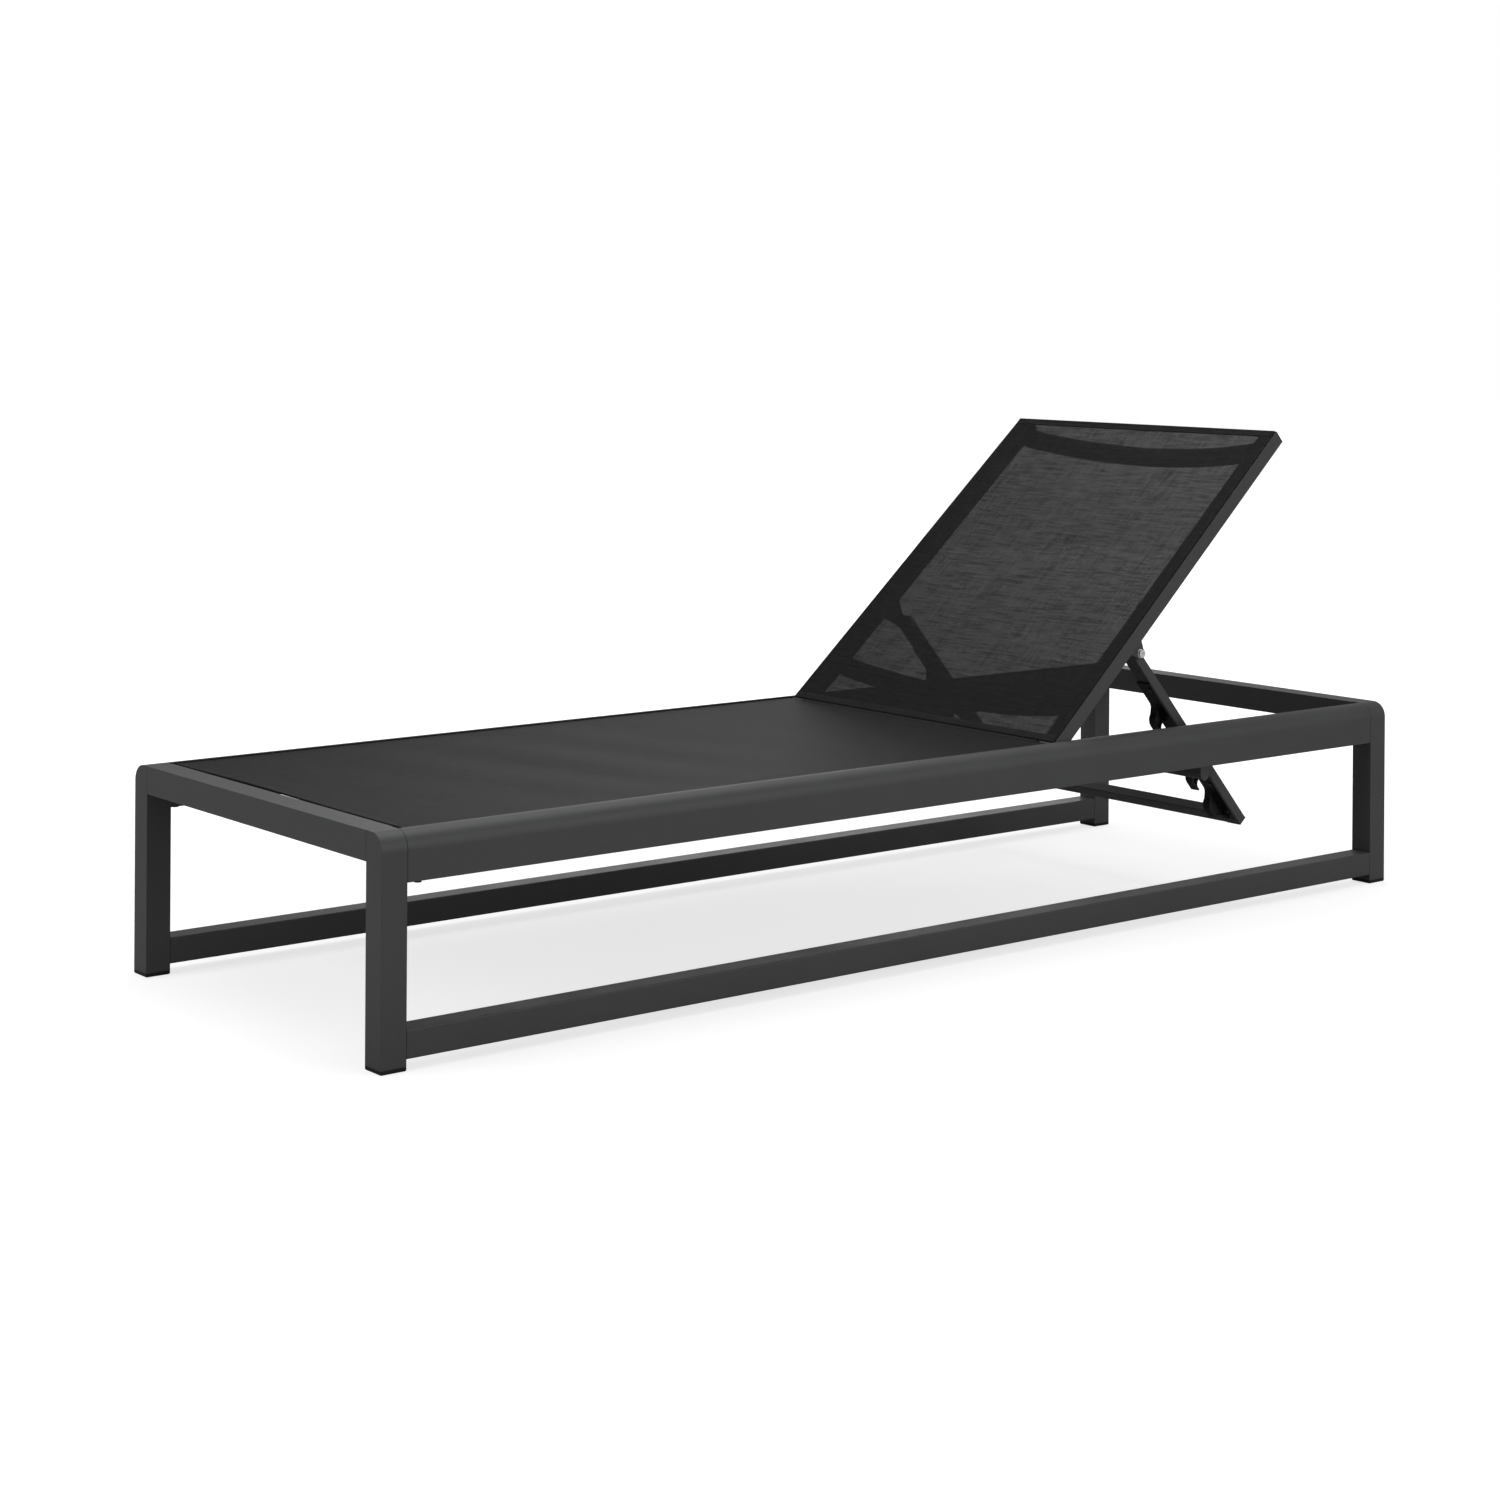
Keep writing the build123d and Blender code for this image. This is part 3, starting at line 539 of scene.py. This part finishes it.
def shell(surface: Surface, normal: Vector, along: Sequence[float], across: Sequence[float],
          thickness: float) -> bmesh.types.BMesh:
    """Make a thin closed sheet that follows a surface.

    Args:
        surface: The sheet's upper face, from a place along and a share across (-1 to 1).
        normal: The way from the sheet's lower face to its upper one.
        along: Places along the sheet.
        across: Shares across it.
        thickness: How thick the cloth is.

    Returns:
        The sheet's mesh.
    """
    mesh = bmesh.new()
    layers = []
    for drop in (0.0, thickness):
        layers.append([[mesh.verts.new(surface(u, v) - normal * drop) for v in across] for u in along])
    for grid in layers:
        for row, next_row in zip(grid, grid[1:]):
            for j in range(len(across) - 1):
                mesh.faces.new((row[j], row[j + 1], next_row[j + 1], next_row[j]))
    top, bottom = layers
    rims = [([row[0] for row in top], [row[0] for row in bottom]),
            ([row[-1] for row in top], [row[-1] for row in bottom]),
            (top[0], bottom[0]), (top[-1], bottom[-1])]
    for upper, lower in rims:
        for j in range(len(upper) - 1):
            mesh.faces.new((upper[j], upper[j + 1], lower[j + 1], lower[j]))
    return mesh


def sweep(sections: Sequence[Sequence[Vector]]) -> bmesh.types.BMesh:
    """Join closed cross-sections of equal size into one capped solid.

    Args:
        sections: The corners of each section, in order.

    Returns:
        The solid's mesh.
    """
    mesh = bmesh.new()
    rings = [[mesh.verts.new(point) for point in section] for section in sections]
    count = len(rings[0])
    for ring, following in zip(rings, rings[1:]):
        for j in range(count):
            k = (j + 1) % count
            mesh.faces.new((ring[j], ring[k], following[k], following[j]))
    mesh.faces.new(rings[0])
    mesh.faces.new(reversed(rings[-1]))
    return mesh


STITCH_SIDES = 6
STITCH_RINGS = ((-0.5, -0.9, 0.55), (-0.28, 0.0, 1.0), (0.28, 0.0, 1.0), (0.5, -0.9, 0.55))


def add_stitch(mesh: bmesh.types.BMesh, middle: Vector, run: Vector, up: Vector, length: float,
               radius: float) -> None:
    """Add one stitch: a short thread that dips into the cloth at both ends.

    Args:
        mesh: The mesh that it joins.
        middle: The stitch's middle.
        run: The direction of the seam.
        up: The direction out of the cloth.
        length: The stitch's length.
        radius: The thread's radius.
    """
    side = run.cross(up).normalized()
    rings = []
    for share, lift, size in STITCH_RINGS:
        centre = middle + run * (share * length) + up * (lift * radius)
        ring = []
        for corner in range(STITCH_SIDES):
            angle = math.tau * corner / STITCH_SIDES
            offset = side * math.cos(angle) + up * math.sin(angle)
            ring.append(mesh.verts.new(centre + offset * (radius * size)))
        rings.append(ring)
    for ring, following in zip(rings, rings[1:]):
        for j in range(STITCH_SIDES):
            k = (j + 1) % STITCH_SIDES
            mesh.faces.new((ring[j], ring[k], following[k], following[j]))
    mesh.faces.new(rings[0])
    mesh.faces.new(reversed(rings[-1]))


def steps(low: float, high: float, count: int) -> list[float]:
    """Space ``count`` + 1 values evenly from ``low`` to ``high``."""
    return [low + (high - low) * number / count for number in range(count + 1)]


@dataclass(frozen=True)
class PanelPlane:
    """A flat panel's own directions: along it, across it (Y) and out of its face."""

    origin: Vector
    slope: float

    def at(self, along: float, across: float, out: float) -> Vector:
        """Place a point given along, across and out of the panel."""
        return self.origin + self.along * along + Vector((0, across, 0)) + self.out * out

    @property
    def along(self) -> Vector:
        """Direction up the panel."""
        return Vector((math.cos(self.slope), 0, math.sin(self.slope)))

    @property
    def out(self) -> Vector:
        """Direction out of the panel's face."""
        return Vector((-math.sin(self.slope), 0, math.cos(self.slope)))


RIPPLES = ((1.0, 40, 2.6, 0.0), (0.6, 23, -3.4, 1.1))  # size, turns along, lean across, offset


@dataclass
class Sling:
    """A stretched sheet with a hemmed pocket at each free end, held at its two sides."""

    name: str
    body: Body
    plane: PanelPlane
    start: float
    end: float
    start_half: float
    end_half: float
    face: float
    replaced: str
    rails: Sequence[str]
    notch_depth: float = 0.0
    notch_half: float = 0.0
    sag: float = 0.003
    sag_flatness: int = 6
    ripple: float = 0.0
    ripple_middle: float = 0.42
    ripple_spread: float = 0.22
    end_hollow: float = 0.0
    hollow_length: float = 0.12
    hollow_middle: float = 0.2
    hollow_spread: float = 0.6
    thickness: float = 0.0011
    edge_share: float = 0.994
    edge_turn: float = 0.0004
    hem_width: float = 0.014
    hem_roll: float = 0.0016
    hem_bulge: float = 2.2
    hem_lip: float = 0.001
    hem_lift: float = 0.0002
    hem_reach: float = 0.996
    hem_sections: int = 64
    hem_facets: int = 8
    stitch_length: float = 0.0032
    stitch_gap: float = 0.0013
    stitch_rows: Sequence[float] = (0.0025, 0.0055)
    stitch_height: float = 0.00045
    stitch_rise: float = 0.4
    stitch_reach: float = 0.985
    thread_radius: float = 0.00035
    rows: int = 120
    columns: int = 48

    def half_at(self, along: float) -> float:
        """Measure half of the cloth's width.

        Args:
            along: Place along the sling.

        Returns:
            Half of the width there.
        """
        if along > self.end - self.notch_depth:
            return self.notch_half
        share = (along - self.start) / (self.end - self.start)
        return self.start_half + (self.end_half - self.start_half) * share

    def dip(self, along: float, across: float) -> float:
        """How far the cloth lies below its face: it hangs a little in its middle and ripples softly.

        Args:
            along: Place along the sling.
            across: Share across it, from -1 to 1.

        Returns:
            The depth in metres.
        """
        share = (along - self.start) / (self.end - self.start)
        held = 1 - across ** 2
        hanging = self.sag * held * (1 - (2 * share - 1) ** self.sag_flatness)
        window = math.exp(-((share - self.ripple_middle) / self.ripple_spread) ** 2)
        wave = sum(size * math.sin(turns * share + lean * across + offset)
                   for size, turns, lean, offset in RIPPLES)
        return hanging + self.ripple * held * window * wave

    def surface(self, along: float, across: float) -> Vector:
        """Point on the cloth's upper face, from a place along and a share across."""
        return self.point(along, across, self.half_at(along))

    def point(self, along: float, across: float, half: float) -> Vector:
        """Find a point on the cloth's upper face.

        Args:
            along: Place along the sling.
            across: Share across it, from -1 to 1.
            half: How far the cloth reaches to each side.

        Returns:
            The point, with the cloth's edge turned down and its hollowed start.
        """
        fade = max(0.0, 1 - (along - self.start) / self.hollow_length)
        hollow = max(0.0, 1 - ((across - self.hollow_middle) / self.hollow_spread) ** 2)
        edge = max(0.0, (abs(across) - self.edge_share) / (1 - self.edge_share))
        depth = self.dip(along, across) + self.edge_turn * edge ** 2
        return self.plane.at(along + self.end_hollow * hollow * fade ** 2, across * half, self.face - depth)

    def cloth(self, material: bpy.types.Material) -> bpy.types.Object:
        """Make the woven sheet itself.

        Args:
            material: The single layer of weave.

        Returns:
            The sheet's object.
        """
        edge, middle_edge, inside = self.edge_share, 0.997, 0.985
        inner = steps(-inside, inside, self.columns)
        shares = [-1.0, -middle_edge, -edge, *inner, edge, middle_edge, 1.0]
        along = steps(self.start + self.hem_roll, self.end - self.hem_roll, self.rows)
        if self.notch_depth > 0:
            corner, clear, cut = self.end - self.notch_depth, 0.0005, 0.0001
            along = [*(place for place in along if abs(place - corner) > clear), corner, corner + cut]
            along.sort()
        mesh = shell(self.surface, self.plane.out, along, shares, self.thickness)
        return new_piece(f"{self.name}_cloth", mesh, self.body, material)

    def hem(self, end: bool, material: bpy.types.Material) -> bpy.types.Object:
        """Make the folded pocket at one end of the sling.

        Args:
            end: True for the far end, False for the start.
            material: The doubled cloth.

        Returns:
            The hem's object.
        """
        edge, inward = (self.end, -1) if end else (self.start, 1)
        roll, width, lift, half_cloth = self.hem_roll, self.hem_width, self.hem_lift, self.thickness / 2
        outline = [(roll * (1 - math.cos(angle)), roll * math.sin(angle))
                   for angle in steps(-math.pi / 2, math.pi / 2, self.hem_facets)]
        upper = [(roll * self.hem_bulge, half_cloth + lift * 2.5),
                 (width - self.hem_lip, half_cloth + lift * 2), (width, half_cloth + lift)]
        outline += [*upper, *((depth, -height) for depth, height in reversed(upper))]
        sections = []
        for across in steps(-self.hem_reach, self.hem_reach, self.hem_sections):
            section = []
            for depth, height in outline:
                point = self.point(edge + inward * depth, across, self.half_at(edge))
                section.append(point + self.plane.out * (height - half_cloth))
            sections.append(section)
        label = "top" if end else "bottom"
        return new_piece(f"{self.name}_hem_{label}", sweep(sections), self.body, material)

    def stitches(self, material: bpy.types.Material) -> bpy.types.Object:
        """Make the double row of stitches that closes each hem.

        Args:
            material: The sewing thread.

        Returns:
            The object that holds every stitch.
        """
        mesh = bmesh.new()
        run, up = Vector((0, 1, 0)), self.plane.out
        for edge, inward in ((self.start, 1), (self.end, -1)):
            for row in self.stitch_rows:
                along = edge + inward * (self.hem_width - row)
                half = self.half_at(edge)
                reach = self.stitch_reach
                count = int(2 * half * reach / (self.stitch_length + self.stitch_gap))
                for across in steps(-reach, reach, count):
                    middle = self.point(along, across, half)
                    middle += up * (self.thread_radius * self.stitch_rise + self.stitch_height)
                    add_stitch(mesh, middle, run, up, self.stitch_length, self.thread_radius)
        return new_piece(f"{self.name}_stitches", mesh, self.body, material)

    def build(self, cloth: bpy.types.Material, hem: bpy.types.Material, thread: bpy.types.Material) -> None:
        """Args:
            cloth: The single layer of weave.
            hem: The doubled weave of the hems.
            thread: The sewing thread.
        """
        sheet = self.cloth(cloth)
        trims = [self.hem(False, hem), self.hem(True, hem), self.stitches(thread)]
        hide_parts(self.replaced)


@dataclass
class Wardrobe:
    """Every finish of the lounger, and which CAD node wears which."""

    slope: float
    materials: dict[str, bpy.types.Material] = field(default_factory=dict)

    def build(self) -> None:
        """Make the materials."""
        groups = Groups()
        finishes = [
            SkinFinish("charcoal_powder_coat", (0.05, 0.051, 0.0525), 0.5, dust=0.03),
            SkinFinish("black_moulding", (0.008, 0.008, 0.008), 0.5, grain_scale=1500.0, dust=0.01,
                       edge_radius=0.0005, specular=0.3),
            SkinFinish("natural_nylon", (0.5, 0.48, 0.43), 0.45, grain_scale=1200.0, edge_radius=0.0003),
            SkinFinish("blackened_steel", (0.03, 0.03, 0.032), 0.35, grain_scale=2200.0, edge_radius=0.0003,
                       metallic=0.6),
            TurnedFinish("stainless_steel", (0.93, 0.92, 0.9), 0.3),
            # The seat's cloth is the back's weave painted about twice as light: painted top light that
            # stands in for the light its level face catches from above.
            MeshFinish("seat_weave_painted_lighter", (0.009, 0.009, 0.0095), (0.0185, 0.0185, 0.019), openness=0.04,
                       specular=0.09),
            MeshFinish("back_weave", (0.004, 0.004, 0.0043), (0.0115, 0.0115, 0.012), slope=self.slope,
                       openness=0.46, slub=0.4),
            MeshFinish("seat_hem_weave", (0.005, 0.005, 0.0055), (0.011, 0.011, 0.0115), openness=0.0),
            MeshFinish("back_hem_weave", (0.005, 0.005, 0.0055), (0.011, 0.011, 0.0115), openness=0.0,
                       slope=self.slope),
            SkinFinish("bonded_thread", (0.016, 0.016, 0.017), 0.5, grain_scale=3000.0, edge_radius=0.0001),
            PaperFinish("studio_floor", (0.45, 0.45, 0.45), 0.72),
        ]
        self.materials = {finish.name: finish.build(groups) for finish in finishes}

    def dress(self) -> None:
        """Give every CAD node the finish of its slot."""
        by_slot = {"frame_paint": "charcoal_powder_coat", "black_plastic": "black_moulding",
                   "nylon": "natural_nylon", "dark_screws": "blackened_steel",
                   "bright_bolts": "stainless_steel", "sling_fabric": "seat_weave_painted_lighter"}
        for part in frame["record"]["subparts"]:
            material = self.materials[by_slot[part["material_slot"]]]
            node = bpy.data.objects[part["node"]]
            if not node.material_slots:
                node.data.materials.append(material)
            for place in node.material_slots:
                place.material = material
            log.info("%s wears %s", part["node"], material.name)


@dataclass(frozen=True)
class AreaLight:
    """A soft studio light aimed at the lounger."""

    name: str
    place: tuple[float, float, float]
    target: tuple[float, float, float]
    size: float
    power: float

    def build(self) -> None:
        """Add the light."""
        data = bpy.data.lights.new(self.name, "AREA")
        data.shape = "SQUARE"
        data.size = self.size
        data.energy = self.power
        light = bpy.data.objects.new(self.name, data)
        light.location = self.place
        aim = Vector(self.target) - Vector(self.place)
        light.rotation_mode = "QUATERNION"
        light.rotation_quaternion = aim.to_track_quat("-Z", "Y")
        bpy.context.scene.collection.objects.link(light)


LIGHTS = (
    AreaLight("overhead", (0.3, 0.4, 3.6), (0.1, 0, 0), 3.6, 70.0),
    AreaLight("front", (1.6, -4.4, 1.6), (0.0, 0, 0.2), 3.6, 60.0),
    AreaLight("behind", (4.2, 5.2, 1.7), (0.0, 0, 0.3), 3.0, 42.0),
    AreaLight("foot_end", (-4.4, 0.4, 2.2), (-0.9, 0, 0.2), 2.6, 55.0),
)


@dataclass
class Studio:
    """The pale floor, the soft light and the camera."""

    azimuth: float = math.radians(-38.77)
    camera_place: tuple[float, float, float] = (-2.8254, -3.3580, 0.9716)
    lens: float = 66.74
    sensor: float = 36.0
    farthest: float = 60.0
    shift: float = -0.29015
    tilt: float = math.radians(0.15)
    roll: float = math.radians(-0.37)
    floor_half: float = 14.0
    surround: float = 0.3

    def floor(self, material: bpy.types.Material) -> None:
        """Make the floor that the lounger stands on.

        Args:
            material: The studio paper.
        """
        half = self.floor_half
        mesh = bmesh.new()
        corners = [mesh.verts.new((x * half, y * half, 0)) for x, y in ((-1, -1), (1, -1), (1, 1), (-1, 1))]
        mesh.faces.new(corners)
        data = bpy.data.meshes.new("studio_floor")
        mesh.to_mesh(data)
        mesh.free()
        data.materials.append(material)
        floor = bpy.data.objects.new("studio_floor", data)
        bpy.context.scene.collection.objects.link(floor)

    def lights(self) -> None:
        """Light the scene with a dim white surround, which the camera sees bright, and four soft lights."""
        world = bpy.data.worlds.new("studio_world")
        bpy.context.scene.world = world
        world.use_nodes = True
        graph = Graph(world.node_tree)
        backdrop = world.node_tree.nodes["Background"]
        backdrop.inputs["Color"].default_value = (1, 1, 1, 1)
        seen = graph.node("LightPath").outputs["Is Camera Ray"]
        graph.feed(backdrop.inputs["Strength"], graph.spread(seen, 0.0, 1.0, self.surround, 1.0))
        for light in LIGHTS:
            light.build()

    def camera(self) -> None:
        """Place the camera, nearly level and turned to the lounger's foot and left side."""
        data = bpy.data.cameras.new("studio_camera")
        data.lens = self.lens
        data.sensor_width = self.sensor
        data.shift_y = self.shift
        data.clip_end = self.farthest
        camera = bpy.data.objects.new("studio_camera", data)
        camera.location = self.camera_place
        camera.rotation_euler = (math.pi / 2 - self.tilt, self.roll, self.azimuth)
        bpy.context.scene.collection.objects.link(camera)
        bpy.context.scene.camera = camera

    def build(self, floor_material: bpy.types.Material) -> None:
        """Set the whole stage up.

        Args:
            floor_material: The studio paper.
        """
        self.floor(floor_material)
        self.lights()
        self.camera()
        view = bpy.context.scene.view_settings
        view.view_transform = "Standard"
        view.look = "None"


def joint_named(name: str) -> dict:
    """Find a joint of the record by its name."""
    return next(joint for joint in frame["record"]["behaviour"]["joints"] if joint["name"] == name)


SLAB_INSET = 0.0003  # how far the cloth stays inside its CAD slab
LUG_CLEARANCE = (0.002, 0.0025)  # along the seat and to the side of a hinge lug


def seat_sling() -> Sling:
    """Measure the seat's sling from its CAD slab.

    Returns:
        The sling, notched round the hinge lugs.
    """
    low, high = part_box("seat_sling")
    plane = PanelPlane(Vector((0, 0, 0)), 0.0)
    half = (high[1] - low[1]) / 2 - SLAB_INSET
    lug_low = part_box("hinge_lug_right")[0]
    ahead, beside = LUG_CLEARANCE
    return Sling("seat", Body.BASE, plane, low[0], high[0], half, half, high[2] - SLAB_INSET, "seat_sling",
                 ("side_rail_left", "side_rail_right"), notch_depth=high[0] - lug_low[0] + ahead,
                 notch_half=lug_low[1] - beside, sag=0.004, ripple=0.0011, end_hollow=0.0036)


def back_sling(slope: float) -> Sling:
    """Measure the backrest's sling from its CAD slab.

    Args:
        slope: The raised backrest's angle above level.

    Returns:
        The sling, in the backrest's own directions from its hinge.
    """
    low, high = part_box("back_sling")
    hinge = Vector(joint_named("backrest_hinge")["pos_m"])
    plane = PanelPlane(hinge, slope)
    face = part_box("side_rail_left")[1][2] - hinge.z
    overhang = 0.0012
    start = (low[0] - hinge.x + face * math.sin(slope)) / math.cos(slope) - overhang
    end = (high[2] - hinge.z - face * math.cos(slope)) / math.sin(slope)
    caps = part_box("tube_caps")
    inset = 0.0013
    return Sling("back", Body.BACKREST, plane, start, end, (high[1] - low[1]) / 2, caps[1][1] - inset,
                 face - SLAB_INSET, "back_sling", ("back_tube_left", "back_tube_right"), sag=0.003)


def main() -> None:
    """Build the lounger's soft pieces, dress every part and set the studio up."""
    logging.basicConfig(level=logging.INFO, format="%(name)s: %(message)s")
    slope = -math.radians(joint_named("backrest_hinge")["range_deg"][0])
    wardrobe = Wardrobe(slope)
    wardrobe.build()
    wardrobe.dress()
    materials = wardrobe.materials
    seat_sling().build(materials["seat_weave_painted_lighter"], materials["seat_hem_weave"], materials["bonded_thread"])
    back_sling(slope).build(materials["back_weave"], materials["back_hem_weave"], materials["bonded_thread"])
    Studio().build(materials["studio_floor"])


if __name__ == "__main__":
    main()
